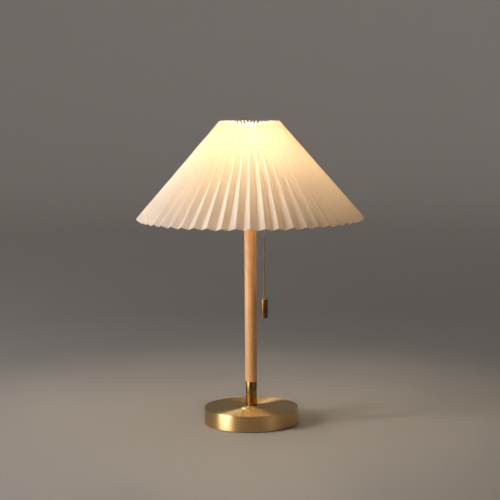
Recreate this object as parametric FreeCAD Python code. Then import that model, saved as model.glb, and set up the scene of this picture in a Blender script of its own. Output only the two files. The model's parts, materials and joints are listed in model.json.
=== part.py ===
"""Table lamp with a pleated cone shade, a wooden stem, a round brass base and a pull-chain switch.

Frame: millimetres, +Z up, origin at the middle of the pad that the lamp stands on.
The front of the lamp faces -Y. The supply cord enters the base at the back, +Y.
Each sub-part is one function that returns its shape, and SUBPARTS at the end names them all.
"""

import FreeCAD, Part
import math
import os

V = FreeCAD.Vector
UP = V(0, 0, 1)

# ---- driving dimensions -------------------------------------------------------------------

# shade
PLEATS = 52
PANEL_WIDTH = 10.3          # width of one flat panel between two folds
FABRIC = 0.4                # laminated fabric thickness
SHADE_TOP_R = 39.5          # to the outer folds
SHADE_BOTTOM_R = 150.0
SHADE_TOP_Z = 402.0
SHADE_BOTTOM_Z = 275.0

# base
BASE_R = 62.5
BASE_TOP_Z = 22.0
BASE_RIM_Z = 0.8            # the cover's rim hangs just above the table
BASE_WALL = 1.2
BASE_EDGE = 0.9             # rounding of the top edge
PAD_R = 60.4
PAD_THICK = 3.0
WEIGHT_R = 60.8
WEIGHT_BOTTOM_Z = PAD_THICK
ROSETTE_R = 18.5
ROSETTE_THICK = 1.2

# lamp pipe, M10 x 1, that clamps the whole column together
PIPE_R = 5.0
PIPE_BORE_R = 3.7
PIPE_CLEAR_R = 5.2          # holes that the pipe passes through
PIPE_BOTTOM_Z = 6.5
PIPE_TOP_Z = 283.6
NUT_FLATS = 17.0
NUT_THICK = 5.0

# column
FERRULE_R = 7.4
FERRULE_TOP_Z = 56.0
STEM_R = 8.0
STEM_TOP_Z = 268.0
STEM_CAP_R = 9.2
STEM_CAP_TOP_Z = 271.0

# lampholder, for an E27 bulb
HOLDER_R = 17.0
HOLDER_WALL = 0.7
HOLDER_TOP_Z = 338.0
SHOULDER_R = 19.2
SHOULDER_Z = 331.0          # top of the shoulder that carries the shade
BOX_BOTTOM_Z = 285.0        # switch housing
BOX_TOP_Z = 303.5
BOX_R = 15.2
CORE_TOP_Z = 311.8
THREAD_PITCH = 3.6

# pull chain: where it leaves the holder, seen from above
CHAIN_AZIMUTH = 48.0        # degrees from the front, towards +X
CHAIN_RADIUS = 24.0
CHAIN_OUT_Z = 299.0         # height of the horizontal part of the guide
DRUM_R = 5.73               # 9 mm of chain turns the drum a quarter turn
LINK_PIVOT_Z = 286.0
COUPLING_PIVOT_Z = 277.0
BEAD_R = 1.2
BEAD_PITCH = 3.44
BEADS = 32
KNOB_R = 4.6
KNOB_LENGTH = 25.4

# bulb
BULB_R = 22.5
BULB_CENTRE_Z = 369.0
BULB_TIP_Z = 313.5
BULB_CAP_R = 13.1
BULB_CAP_TOP_Z = 337.5
BULB_WALL = 0.8

# shade frame
WIRE_R = 1.5
FITTER_R = 25.0
FITTER_THICK = 1.4
GAP = 0.1                   # between pieces that slide or turn on each other
TOP_RING_Z = 391.0
MIDDLE_RING_Z = 370.5
ARM_AZIMUTHS = (70.0, 190.0, 310.0)

# cord inlet at the back of the base
INLET_Z = 9.5
INLET_BORE_R = 3.2
INLET_R = 4.5
LEAD_R = 0.9

# ---- directions ---------------------------------------------------------------------------


def heading(azimuth):
    """Unit vector at an azimuth in degrees, counted from the front (-Y) towards +X."""
    a = math.radians(azimuth)
    return V(math.sin(a), -math.cos(a), 0)


OUT = heading(CHAIN_AZIMUTH)             # from the axis towards the chain
ACROSS = UP.cross(OUT)                   # level, square to OUT
CHAIN_AT = OUT * CHAIN_RADIUS

# ---- small shape helpers ------------------------------------------------------------------


def disc(r, z0, z1, centre=V(0, 0, 0)):
    return Part.makeCylinder(r, z1 - z0, V(centre.x, centre.y, z0))


def tube(r_out, r_in, z0, z1, centre=V(0, 0, 0)):
    return disc(r_out, z0, z1, centre).cut(disc(r_in, z0 - 1, z1 + 1, centre))


def rod(start, end, r):
    return Part.makeCylinder(r, (end - start).Length, start, end - start)


def block(size, middle, turn=0.0):
    """A box of that size about its middle, turned about Z by an angle in degrees."""
    box = Part.makeBox(size[0], size[1], size[2], V(-size[0] / 2, -size[1] / 2, -size[2] / 2))
    box.rotate(V(0, 0, 0), UP, turn)
    box.translate(middle)
    return box


def revolve(points):
    """A solid of revolution about Z from (r, z) points. A point may hold a third value, the bulge
    of an arc that leads to it: the (r, z) of the arc's middle point."""
    edges = []
    for (r0, z0, *_), (r1, z1, *middle) in zip(points, points[1:] + points[:1]):
        a, b = V(r0, 0, z0), V(r1, 0, z1)
        if middle:
            edges.append(Part.Arc(a, V(middle[0][0], 0, middle[0][1]), b).toShape())
        elif (a - b).Length > 1e-6:
            edges.append(Part.makeLine(a, b))
    return Part.Face(Part.Wire(edges)).revolve(V(0, 0, 0), UP, 360)


def ring_wire(r, z, wire_r=WIRE_R):
    return Part.makeTorus(r, wire_r, V(0, 0, z))


def bent_wire(points, r, bend):
    """A round wire along straight runs joined by arcs of one bend radius."""
    edges, at = [], points[0]
    for before, corner, after in zip(points, points[1:], points[2:]):
        a = (before - corner).normalize()
        b = (after - corner).normalize()
        half = a.getAngle(b) / 2
        back = bend / math.tan(half)
        start, end = corner + a * back, corner + b * back
        middle = (a + b).normalize()
        crown = corner + middle * (bend / math.sin(half) - bend)
        edges.append(Part.makeLine(at, start))
        edges.append(Part.Arc(start, crown, end).toShape())
        at = end
    edges.append(Part.makeLine(at, points[-1]))
    path = Part.Wire(edges)
    section = Part.Wire(Part.makeCircle(r, points[0], points[1] - points[0]))
    wire = path.makePipeShell([section], True, False)
    expected = math.pi * r * r * path.Length
    assert abs(wire.Volume / expected - 1) < 0.02, "a swept wire has the wrong volume"
    return wire


def hexagon(flats, z0, z1):
    r = flats / 2 / math.cos(math.pi / 6)
    corners = [V(r * math.cos(k * math.pi / 3), r * math.sin(k * math.pi / 3), z0) for k in range(7)]
    return Part.Face(Part.makePolygon(corners)).extrude(V(0, 0, z1 - z0))


def wavy(r_crest, r_root, z0, z1, pitch=THREAD_PITCH):
    """(r, z) points up a wall that is rolled into rounded thread-like waves."""
    turns = int((z1 - z0) // pitch)
    points = [(r_root, z0)]
    for k in range(turns):
        low = z0 + k * pitch
        points.append((r_root, low + pitch, (r_crest, low + pitch / 2)))
    if z1 - points[-1][1] > 1e-6:
        points.append((r_root, z1))
    return points


# ---- shade --------------------------------------------------------------------------------

RUN = SHADE_BOTTOM_R - SHADE_TOP_R
DROP = SHADE_TOP_Z - SHADE_BOTTOM_Z
SLANT = math.hypot(RUN, DROP)
NORMAL_R, NORMAL_Z = DROP / SLANT, RUN / SLANT      # outward normal of the cone


def half_chord(r):
    return r * math.sin(math.pi / PLEATS)


def fold_line(r, z, inner, valley):
    """(r, z) of a fold's end. A valley lies below its ridge by the depth that a panel of constant
    width leaves there, and the inner surface lies a thickness below the outer one."""
    chord = half_chord(r)
    depth = math.sqrt(PANEL_WIDTH**2 - chord**2) if valley else 0.0
    depth += FABRIC * PANEL_WIDTH / chord if inner else 0.0
    return r - NORMAL_R * depth, z - NORMAL_Z * depth


def valley_r(z, inner=True):
    """Radius of the valley folds at a height."""
    r0, z0 = fold_line(SHADE_TOP_R, SHADE_TOP_Z, inner, True)
    r1, z1 = fold_line(SHADE_BOTTOM_R, SHADE_BOTTOM_Z, inner, True)
    return r0 + (z0 - z) / (z0 - z1) * (r1 - r0)


def shade_fabric():
    """The accordion-pleated cone, as a closed thin solid of flat facets."""
    loops = []
    for inner in (False, True):
        for r, z in ((SHADE_TOP_R, SHADE_TOP_Z), (SHADE_BOTTOM_R, SHADE_BOTTOM_Z)):
            loop = []
            for k in range(2 * PLEATS):
                fr, fz = fold_line(r, z, inner, valley=k % 2 == 1)
                loop.append(heading(k * 180.0 / PLEATS) * fr + V(0, 0, fz))
            loops.append(loop)
    outer_top, outer_bottom, inner_top, inner_bottom = loops
    faces = []

    def band(one, other):
        for k in range(2 * PLEATS):
            a, b = one[k], one[(k + 1) % (2 * PLEATS)]
            c, d = other[(k + 1) % (2 * PLEATS)], other[k]
            corners = ((a, b, c), (a, c, d)) if k % 2 == 0 else ((a, b, d), (b, c, d))
            for three in corners:
                faces.append(Part.Face(Part.makePolygon([*three, three[0]])))

    band(outer_top, outer_bottom)
    band(inner_top, inner_bottom)
    band(outer_top, inner_top)
    band(outer_bottom, inner_bottom)
    shell = Part.makeShell(faces)
    shell.sewShape()
    solid = Part.makeSolid(shell)
    if solid.Volume < 0:
        solid.reverse()
    return solid


def ring_radius(z):
    """Where a ring's wire lies just inside the valley folds."""
    lean = math.cos(math.atan2(RUN, DROP))
    return valley_r(z) - (WIRE_R + GAP) / lean


def top_ring():
    return ring_wire(ring_radius(TOP_RING_Z), TOP_RING_Z)


def middle_ring():
    return ring_wire(ring_radius(MIDDLE_RING_Z), MIDDLE_RING_Z)


def frame_arms():
    """Three bent wires: from the fitter ring out to the middle ring and up to the top ring."""
    foot_z = SHOULDER_Z + GAP + FITTER_THICK
    arms = []
    for azimuth in ARM_AZIMUTHS:
        way = heading(azimuth)
        foot = way * (FITTER_R - WIRE_R) + V(0, 0, foot_z)
        knee = way * (ring_radius(MIDDLE_RING_Z) - WIRE_R + 0.5) + V(0, 0, MIDDLE_RING_Z - WIRE_R)
        top = way * (ring_radius(TOP_RING_Z) - WIRE_R) + V(0, 0, TOP_RING_Z - WIRE_R)
        arm = bent_wire([foot, foot + V(0, 0, 8), knee, top], WIRE_R, 4.0)
        for joined in (top_ring(), middle_ring()):
            arm = arm.cut(joined)
        arms.append(max(arm.Solids, key=lambda s: s.Volume))
    return Part.Compound(arms)


def fitter_ring():
    z0 = SHOULDER_Z + GAP
    return tube(FITTER_R, HOLDER_R + 0.3, z0, z0 + FITTER_THICK)


def shade_ring():
    """Ring nut that clamps the fitter ring, with finger notches round its edge."""
    z0 = SHOULDER_Z + 2 * GAP + FITTER_THICK
    nut = tube(21.0, HOLDER_R + 0.15, z0, z0 + 6.4)
    notches = [disc(1.1, z0 - 1, z0 + 8, heading(k * 15.0) * 21.4) for k in range(24)]
    return nut.cut(Part.Compound(notches))


# ---- base ---------------------------------------------------------------------------------


def inlet_hole(r):
    return rod(V(0, BASE_R - 12, INLET_Z), V(0, BASE_R + 5, INLET_Z), r)


def base_cover():
    """Spun shell: top plate and wall in one, open below, with a rounded top edge."""
    e = BASE_EDGE
    inside_r, inside_z = BASE_R - BASE_WALL, BASE_TOP_Z - BASE_WALL
    s = e * (1 - math.sqrt(0.5))
    shell = revolve([
        (PIPE_CLEAR_R, inside_z),
        (inside_r, inside_z),
        (inside_r, BASE_RIM_Z),
        (BASE_R, BASE_RIM_Z),
        (BASE_R, BASE_TOP_Z - e),
        (BASE_R - e, BASE_TOP_Z, (BASE_R - s, BASE_TOP_Z - s)),
        (PIPE_CLEAR_R, BASE_TOP_Z),
    ])
    return shell.cut(inlet_hole(INLET_R))


def base_weight():
    """Cast disc with a recess for the nut and a pocket at the back for the cord joint."""
    top = BASE_TOP_Z - BASE_WALL
    weight = disc(WEIGHT_R, WEIGHT_BOTTOM_Z, top)
    nut_recess = disc(17.0, WEIGHT_BOTTOM_Z - 1, 14.0)
    pocket = block((24, 50, 15), V(0, 37, WEIGHT_BOTTOM_Z - 1 + 7.5))
    return weight.cut(nut_recess).cut(pocket).cut(disc(PIPE_CLEAR_R, 0, top + 1))


def base_pad():
    """Cushion pad that the lamp stands on."""
    s = 0.5 * (1 - math.sqrt(0.5))
    return revolve([
        (0, 0),
        (PAD_R - 0.5, 0),
        (PAD_R, 0.5, (PAD_R - s, s)),
        (PAD_R, PAD_THICK),
        (0, PAD_THICK),
    ])


def cord_bushing():
    """Flanged bush in the base wall, where a supply cord enters."""
    flange = rod(V(0, BASE_R + 0.05, INLET_Z), V(0, BASE_R + 1.6, INLET_Z), INLET_R + 1.7)
    body = rod(V(0, BASE_R - 6, INLET_Z), V(0, BASE_R + 1, INLET_Z), INLET_R - 0.05)
    return flange.fuse(body).cut(inlet_hole(INLET_BORE_R)).removeSplitter()


def base_rosette():
    z0, z1 = BASE_TOP_Z, BASE_TOP_Z + ROSETTE_THICK
    return revolve([
        (PIPE_CLEAR_R, z0), (ROSETTE_R, z0), (ROSETTE_R, z1 - 0.5), (ROSETTE_R - 0.5, z1),
        (PIPE_CLEAR_R, z1),
    ])


def pipe_washer():
    return tube(12.0, PIPE_CLEAR_R, 12.5, 14.0)


def pipe_nut():
    z0 = 12.5 - NUT_THICK
    return hexagon(NUT_FLATS, z0, 12.5).cut(disc(PIPE_R, z0 - 1, 14))


TERMINAL_AT = V(0, 40, WEIGHT_BOTTOM_Z + 4.6)


def terminal_block():
    """Two-way connector where the supply cord meets the inner leads."""
    body = block((17, 16, 9), TERMINAL_AT)
    for x in (-4, 4):
        body = body.cut(block((5, 5, 4), TERMINAL_AT + V(x, -3.6, 3.5)))
        body = body.cut(block((5, 5, 4), TERMINAL_AT + V(x, 3.6, 3.5)))
    return body.cut(rod(TERMINAL_AT + V(0, 0, -6), TERMINAL_AT + V(0, 0, 6), 1.3))


def terminal_screws():
    screws = []
    for x in (-4, 4):
        for y in (-3.6, 3.6):
            at = TERMINAL_AT + V(x, y, 0)
            screw = disc(1.7, at.z + 1.5, at.z + 3.7, at)
            screws.append(screw.cut(block((0.5, 4, 1.2), at + V(0, 0, 3.7))))
    return Part.Compound(screws)


def lead(side):
    """One insulated core from the terminal block, under the pipe and up inside it."""
    face_y = TERMINAL_AT.y - 8
    points = [
        V(side * 4, face_y, 7.0), V(side * 4, face_y - 6, 7.0), V(side * 1.7, 13, 5.1),
        V(side * 1.7, 0, 5.1), V(side * 1.7, 0, BOX_BOTTOM_Z),
    ]
    return bent_wire(points, LEAD_R, 2.0)


def live_lead():
    return lead(1)


def neutral_lead():
    return lead(-1)


# ---- column -------------------------------------------------------------------------------


def lamp_pipe():
    return tube(PIPE_R, PIPE_BORE_R, PIPE_BOTTOM_Z, PIPE_TOP_Z)


def ferrule():
    z0 = BASE_TOP_Z + ROSETTE_THICK
    sleeve = tube(FERRULE_R, PIPE_CLEAR_R, z0, FERRULE_TOP_Z)
    rims = [e for e in sleeve.Edges if abs(e.BoundBox.XLength - 2 * FERRULE_R) < 0.01]
    return sleeve.makeChamfer(0.3, [e for e in rims if e.BoundBox.ZLength < 0.01])


def stem():
    """Turned wooden sleeve with eased ends."""
    return revolve([
        (PIPE_CLEAR_R, FERRULE_TOP_Z),
        (STEM_R - 0.6, FERRULE_TOP_Z),
        (STEM_R, FERRULE_TOP_Z + 0.6, (STEM_R - 0.18, FERRULE_TOP_Z + 0.18)),
        (STEM_R, STEM_TOP_Z - 0.6),
        (STEM_R - 0.6, STEM_TOP_Z, (STEM_R - 0.18, STEM_TOP_Z - 0.18)),
        (PIPE_CLEAR_R, STEM_TOP_Z),
    ])


def stem_cap():
    z0, z1 = STEM_TOP_Z, STEM_CAP_TOP_Z
    return revolve([
        (PIPE_CLEAR_R, z0), (STEM_CAP_R - 0.4, z0), (STEM_CAP_R, z0 + 0.4),
        (STEM_CAP_R, z1 - 0.4), (STEM_CAP_R - 0.4, z1), (PIPE_CLEAR_R, z1),
    ])


def top_nut():
    return hexagon(14.0, 279.0, 282.6).cut(disc(PIPE_R, 278, 284))


# ---- lampholder ---------------------------------------------------------------------------


def guide_hole(r):
    return rod(OUT * 10 + V(0, 0, CHAIN_OUT_Z), OUT * 22 + V(0, 0, CHAIN_OUT_Z), r)


def holder_cap():
    """Domed lower cap with a threaded neck that screws on the pipe."""
    z0 = STEM_CAP_TOP_Z
    wall, skirt_r, skirt_top, dome_z = 1.1, HOLDER_R + 1.1, 294.4, 289.0
    neck_r, neck_top = 7.6, 277.0
    lean = math.sqrt(0.5)
    dome = (neck_r + (skirt_r - neck_r) * lean, dome_z - (dome_z - neck_top) * lean)
    inner = (dome[0] - wall * lean, dome[1] + wall * lean)
    return revolve([
        (PIPE_R, z0), (neck_r, z0), (neck_r, neck_top),
        (skirt_r, dome_z, dome),
        (skirt_r, skirt_top), (skirt_r - wall, skirt_top), (skirt_r - wall, dome_z),
        (neck_r + 1, 279.0, inner),
        (PIPE_R, 279.0),
    ])


def holder_shell():
    """Outer shell with the shoulder that carries the shade and the collar for the ring nut."""
    z0, inside = 289.4, HOLDER_R - HOLDER_WALL
    shell = revolve([
        (inside, z0), (HOLDER_R, z0), (HOLDER_R, SHOULDER_Z - 2.6), (SHOULDER_R, SHOULDER_Z - 1.2),
        (SHOULDER_R, SHOULDER_Z), (HOLDER_R, SHOULDER_Z), (HOLDER_R, HOLDER_TOP_Z),
        (inside, HOLDER_TOP_Z),
    ])
    return shell.cut(guide_hole(3.0))


def holder_liner():
    """Insulating sleeve between the live parts and the outer shell."""
    return tube(HOLDER_R - HOLDER_WALL - 0.15, 15.4, BOX_BOTTOM_Z + 5, 330.0).cut(guide_hole(3.0))


DRUM_AT = V(0, 0, CHAIN_OUT_Z - DRUM_R)
DRUM_HALF = 3.0


def switch_box():
    """Moulded housing of the pull switch, bored across for the drum and its axle."""
    z0, z1, e = BOX_BOTTOM_Z, BOX_TOP_Z, 0.8
    body = revolve([(0, z0), (BOX_R - e, z0), (BOX_R, z0 + e), (BOX_R, z1), (0, z1)])
    cavity = rod(DRUM_AT - ACROSS * 4.4, DRUM_AT + ACROSS * 4.4, 7.5)
    axle_hole = rod(DRUM_AT - ACROSS * 7.0, DRUM_AT + ACROSS * 7.0, 1.5)
    channel = rod(V(0, 0, CHAIN_OUT_Z), OUT * 20 + V(0, 0, CHAIN_OUT_Z), 1.9)
    return body.cut(cavity).cut(axle_hole).cut(channel)


def drum_axle():
    return rod(DRUM_AT - ACROSS * 6.9, DRUM_AT + ACROSS * 6.9, 1.5)


def pull_drum():
    """Spool that the chain end is wound on, with the lug on one flange that works the contacts."""
    width, flange = 2 * DRUM_HALF, 1.0
    core = rod(DRUM_AT - ACROSS * DRUM_HALF, DRUM_AT + ACROSS * DRUM_HALF, 4.5)
    for side in (-1, 1):
        outer = DRUM_AT + ACROSS * (side * width / 2)
        core = core.fuse(rod(outer, outer - ACROSS * (side * flange), 6.8))
    lug = DRUM_AT - OUT * 5.5 - ACROSS * (DRUM_HALF - flange / 2)
    core = core.fuse(rod(lug, lug - ACROSS * 1.4, 0.8))
    bore = rod(DRUM_AT - ACROSS * 5, DRUM_AT + ACROSS * 5, 1.56)
    return core.cut(bore).removeSplitter()


def return_spring():
    """Coil on the axle beside the drum that winds the chain back."""
    turns = []
    for k in range(2):
        at = DRUM_AT + ACROSS * (DRUM_HALF + 0.5 + k * 0.55)
        turns.append(Part.makeTorus(2.6, 0.3, at, ACROSS))
    return turns[0].fuse(turns[1])


def switch_contacts():
    """Two brass blades that the drum's cam opens and closes."""
    blades = []
    for side in (-1, 1):
        at = OUT * -11.5 + ACROSS * (side * 4.0) + V(0, 0, BOX_TOP_Z + 0.3)
        blades.append(block((5, 2.4, 0.6), at, CHAIN_AZIMUTH - 90))
    return Part.Compound(blades)


def holder_core():
    """Porcelain disc that carries the contacts."""
    core = disc(15.2, BOX_TOP_Z + 0.9, CORE_TOP_Z)
    for x in (-8.5, 8.5):
        core = core.cut(disc(1.5, CORE_TOP_Z - 5, CORE_TOP_Z + 1, V(x, 0, 0)))
    return core.cut(disc(1.2, BOX_TOP_Z, CORE_TOP_Z + 1))


def screw_shell():
    """Rolled brass shell that the bulb screws into."""
    z0, z1, wall = CORE_TOP_Z, 330.6, 0.35
    inside = wavy(BULB_CAP_R + 0.9, BULB_CAP_R + 0.35, z0 + 0.4, z1)
    outside = [(r + wall, z) if not arc else (r + wall, z, (arc[0][0] + wall, arc[0][1]))
               for r, z, *arc in inside]
    back = [(outside[-1][0], outside[-1][1])]
    for (r, z, *_), (_, _, *arc) in zip(reversed(outside[:-1]), reversed(outside[1:])):
        back.append((r, z, arc[0]) if arc else (r, z))
    foot = [(outside[0][0], z0), (BULB_CAP_R - 2.6, z0), (BULB_CAP_R - 2.6, z0 + 0.4)]
    return revolve(inside + back + foot)


def contact_screws():
    screws = []
    for x in (-8.5, 8.5):
        at = V(x, 0, 0)
        screw = disc(1.45, CORE_TOP_Z - 4.6, CORE_TOP_Z + 0.1, at)
        screws.append(screw.fuse(disc(1.9, CORE_TOP_Z + 0.1, CORE_TOP_Z + 1.2, at)).removeSplitter())
    return Part.Compound(screws)


def centre_contact():
    """Sprung tongue under the bulb's tip, on its rivet."""
    rivet = disc(1.2, CORE_TOP_Z - 4, CORE_TOP_Z + 0.3)
    tongue = block((10, 5, 0.4), V(-1, 0, CORE_TOP_Z + 0.2))
    raised = disc(2.2, CORE_TOP_Z + 0.2, BULB_TIP_Z - 0.1)
    return rivet.fuse([tongue, raised]).removeSplitter()


# ---- pull chain ---------------------------------------------------------------------------


def chain_guide():
    """Elbow that leads the chain out of the shell and turns it down, with a flared mouth."""
    mouth_z, top_z, r, bore = LINK_PIVOT_Z + 1.0, CHAIN_OUT_Z + 1.4, 3.1, 1.9
    down = disc(r, mouth_z, top_z, CHAIN_AT)
    dome = Part.makeSphere(r, V(CHAIN_AT.x, CHAIN_AT.y, top_z))
    flare = Part.makeCone(r + 1.1, r, 2.6, V(CHAIN_AT.x, CHAIN_AT.y, mouth_z))
    level = V(0, 0, CHAIN_OUT_Z)
    arm = rod(OUT * 15.5 + level, CHAIN_AT + level, 2.9)
    collar = rod(OUT * (HOLDER_R + 0.1) + level, OUT * (HOLDER_R + 1.4) + level, 4.0)
    body = down.fuse([dome, flare, arm, collar])
    inside = disc(bore, mouth_z - 1, top_z + 0.6, CHAIN_AT)
    inside = inside.fuse(rod(OUT * 14 + level, CHAIN_AT + level, bore))
    return body.cut(inside).removeSplitter()


def beads(top_z, count, wire_r=0.45):
    """(r, z) points down the side of a row of beads on a fine wire, from the first bead's centre."""
    waist = math.sqrt(BEAD_R**2 - wire_r**2)
    points = [(0, top_z + BEAD_R)]
    for k in range(count):
        z = top_z - k * BEAD_PITCH
        if k:
            points.append((wire_r, z + waist))
        lean = math.sqrt(0.5) * BEAD_R
        if k == 0:
            points.append((BEAD_R, z, (lean, z + lean)))
        else:
            points.append((BEAD_R, z, (math.cos(math.radians(34)) * BEAD_R,
                                       z + math.sin(math.radians(34)) * BEAD_R)))
        if k < count - 1:
            points.append((wire_r, z - waist, (math.cos(math.radians(34)) * BEAD_R,
                                               z - math.sin(math.radians(34)) * BEAD_R)))
    last = top_z - (count - 1) * BEAD_PITCH
    points.append((0, last - BEAD_R, (lean, last - lean)))
    return points


def at_chain(shape):
    shape.translate(CHAIN_AT)
    return shape


def pull_link():
    """Stiff end of the chain inside the guide: the part that the drum lets out."""
    ball_z = LINK_PIVOT_Z
    link = at_chain(Part.makeSphere(BEAD_R, V(0, 0, ball_z)))
    stalk = rod(CHAIN_AT + V(0, 0, ball_z), CHAIN_AT + V(0, 0, CHAIN_OUT_Z + 1.0), 0.7)
    head = at_chain(Part.makeSphere(BEAD_R, V(0, 0, CHAIN_OUT_Z)))
    return link.fuse([stalk, head]).removeSplitter()


def chain_coupling():
    """Snap coupling between the switch's own chain and the pull, cupped round the end bead."""
    z1, z0, r = LINK_PIVOT_Z - 0.7, COUPLING_PIVOT_Z, 1.7
    body = disc(r, z0, z1, CHAIN_AT)
    cup = at_chain(Part.makeSphere(BEAD_R + 0.35, V(0, 0, LINK_PIVOT_Z)))
    body = body.cut(cup).cut(at_chain(Part.makeSphere(BEAD_R + 0.35, V(0, 0, z0))))
    return body


def pull_chain():
    """Ball chain, in one piece, hanging straight from the coupling."""
    return at_chain(revolve(beads(COUPLING_PIVOT_Z, BEADS)))


KNOB_TOP_Z = COUPLING_PIVOT_Z - (BEADS - 1) * BEAD_PITCH - BEAD_R - 0.2
KNOB_BOTTOM_Z = KNOB_TOP_Z - KNOB_LENGTH


def pull_knob():
    """Turned brass weight on the end of the chain, with eased edges and an open socket below."""
    z0, z1, e = KNOB_BOTTOM_Z, KNOB_TOP_Z, 0.5
    return at_chain(revolve([
        (0.75, z1), (KNOB_R - e, z1), (KNOB_R, z1 - e), (KNOB_R, z0 + e), (KNOB_R - e, z0),
        (2.6, z0), (2.6, z0 + 6), (0.75, z0 + 8),
    ]))


def knob_pin():
    """Riveted pin that ties the knob to the last bead."""
    z0, z1 = KNOB_BOTTOM_Z + 5.2, KNOB_TOP_Z + 0.2
    pin = disc(0.7, z0, z1, CHAIN_AT)
    return pin.fuse(disc(2.3, z0 - 0.8, z0, CHAIN_AT)).removeSplitter()


# ---- bulb ---------------------------------------------------------------------------------


def globe_profile(r, neck_r, neck_z, fillet):
    """(r, z) points of a globe on a neck, joined by a hollow curve, from the neck up to the top."""
    reach = r + fillet
    side = neck_r + fillet
    blend_z = BULB_CENTRE_Z - math.sqrt(reach**2 - side**2)
    share = r / reach
    touch = (side * share, BULB_CENTRE_Z + (blend_z - BULB_CENTRE_Z) * share)
    a0, a1 = math.pi, math.atan2(touch[1] - blend_z, touch[0] - side)
    am = (a0 + a1) / 2
    crown = (side + fillet * math.cos(am), blend_z + fillet * math.sin(am))
    b0 = math.atan2(touch[1] - BULB_CENTRE_Z, touch[0])
    bm = (b0 + math.pi / 2) / 2
    bulge = (r * math.cos(bm), BULB_CENTRE_Z + r * math.sin(bm))
    return [(neck_r, neck_z), (neck_r, blend_z), (*touch, crown), (0, BULB_CENTRE_Z + r, bulge)]


def bulb_glass():
    outer = globe_profile(BULB_R, 12.0, 331.0, 9.0)
    inner = globe_profile(BULB_R - BULB_WALL, 12.0 - BULB_WALL, 331.0, 9.0 + BULB_WALL)
    solid = revolve(outer + [(0, 331.0)])
    return solid.cut(revolve(inner + [(0, 331.0)]))


def bulb_cap():
    """Rolled metal cap with the screw waves, closed in at the foot."""
    z0, z1, wall = 317.0, BULB_CAP_TOP_Z, 0.35
    wall_up = wavy(BULB_CAP_R, BULB_CAP_R - 0.55, z0 + 1.2, z1 - 1.8) + [(BULB_CAP_R - 0.55, z1)]
    outer = [(0, z0), (8.5, z0)] + wall_up + [(0, z1)]
    inner = [(0, z0 + wall), (8.2, z0 + wall), (12.1, z0 + 1.2), (12.1, z1 + 1), (0, z1 + 1)]
    return revolve(outer).cut(revolve(inner))


def bulb_insulator():
    return revolve([(0, 314.8), (3.6, 314.8), (8.4, 317.0), (0, 317.0)])


def bulb_contact():
    return revolve([(0, BULB_TIP_Z), (2.8, 314.2, (1.7, BULB_TIP_Z + 0.25)), (3.4, 314.8), (0, 314.8)])


def bulb_stem():
    """Glass foot and post inside the globe that hold the filaments."""
    return revolve([
        (0, 331.0), (11.1, 331.0), (10.6, 335.0), (4.4, 341.0), (2.2, 352.0), (1.2, 371.0),
        (1.2, 380.0), (0, 380.0),
    ])


def bulb_filaments():
    sticks = []
    for k in range(4):
        way = heading(45 + 90 * k)
        sticks.append(rod(way * 3.6 + V(0, 0, 352.0), way * 8.0 + V(0, 0, 380.0), 0.8))
    return Part.Compound(sticks)


# ---- all sub-parts ------------------------------------------------------------------------

SUBPARTS = [
    base_cover, base_weight, base_pad, cord_bushing, base_rosette, pipe_washer, pipe_nut,
    terminal_block, terminal_screws, live_lead, neutral_lead,
    lamp_pipe, ferrule, stem, stem_cap, top_nut,
    holder_cap, holder_shell, holder_liner, switch_box, drum_axle, pull_drum, return_spring,
    switch_contacts, holder_core, screw_shell, contact_screws, centre_contact,
    chain_guide, pull_link, chain_coupling, pull_chain, pull_knob, knob_pin,
    bulb_glass, bulb_cap, bulb_insulator, bulb_contact, bulb_stem, bulb_filaments,
    shade_fabric, top_ring, middle_ring, frame_arms, fitter_ring, shade_ring,
]


def main():
    os.makedirs("parts", exist_ok=True)
    for build in SUBPARTS:
        shape = build()
        assert shape.isValid() and shape.Volume > 0, build.__name__
        shape.exportStep("parts/" + build.__name__ + ".step")
        print(f"{build.__name__:16s} solids {len(shape.Solids):2d}  volume {shape.Volume:10.1f} mm3")


if __name__ == "__main__":
    main()
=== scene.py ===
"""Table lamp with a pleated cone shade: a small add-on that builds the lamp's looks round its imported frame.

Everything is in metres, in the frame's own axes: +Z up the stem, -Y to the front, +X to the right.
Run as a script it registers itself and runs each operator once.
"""

import json
import math
import random

import bmesh
import bpy
from bpy.props import FloatProperty, FloatVectorProperty, IntProperty, PointerProperty
from mathutils import Matrix, Vector


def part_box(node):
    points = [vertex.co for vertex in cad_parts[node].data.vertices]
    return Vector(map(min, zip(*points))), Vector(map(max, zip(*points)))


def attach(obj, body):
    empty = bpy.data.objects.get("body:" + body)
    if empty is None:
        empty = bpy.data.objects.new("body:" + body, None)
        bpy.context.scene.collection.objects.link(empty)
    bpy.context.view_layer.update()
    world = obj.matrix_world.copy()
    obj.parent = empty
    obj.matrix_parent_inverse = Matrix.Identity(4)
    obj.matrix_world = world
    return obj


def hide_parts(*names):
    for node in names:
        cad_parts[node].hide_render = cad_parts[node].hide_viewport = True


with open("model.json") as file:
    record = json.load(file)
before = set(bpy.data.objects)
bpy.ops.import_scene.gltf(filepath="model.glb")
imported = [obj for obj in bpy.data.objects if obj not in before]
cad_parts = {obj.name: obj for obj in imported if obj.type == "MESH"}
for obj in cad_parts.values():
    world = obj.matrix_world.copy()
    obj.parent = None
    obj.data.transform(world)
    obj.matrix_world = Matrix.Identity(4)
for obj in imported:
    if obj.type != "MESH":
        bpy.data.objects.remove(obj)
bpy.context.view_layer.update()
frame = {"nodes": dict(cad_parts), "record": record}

bl_info = {
    "name": "Pleated Shade Lamp",
    "version": (1, 0, 0),
    "blender": (4, 5, 0),
    "location": "View3D > Sidebar > Lamp",
    "description": "Builds a table lamp with a pleated cone shade round its packed frame",
    "category": "Object",
}

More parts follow.
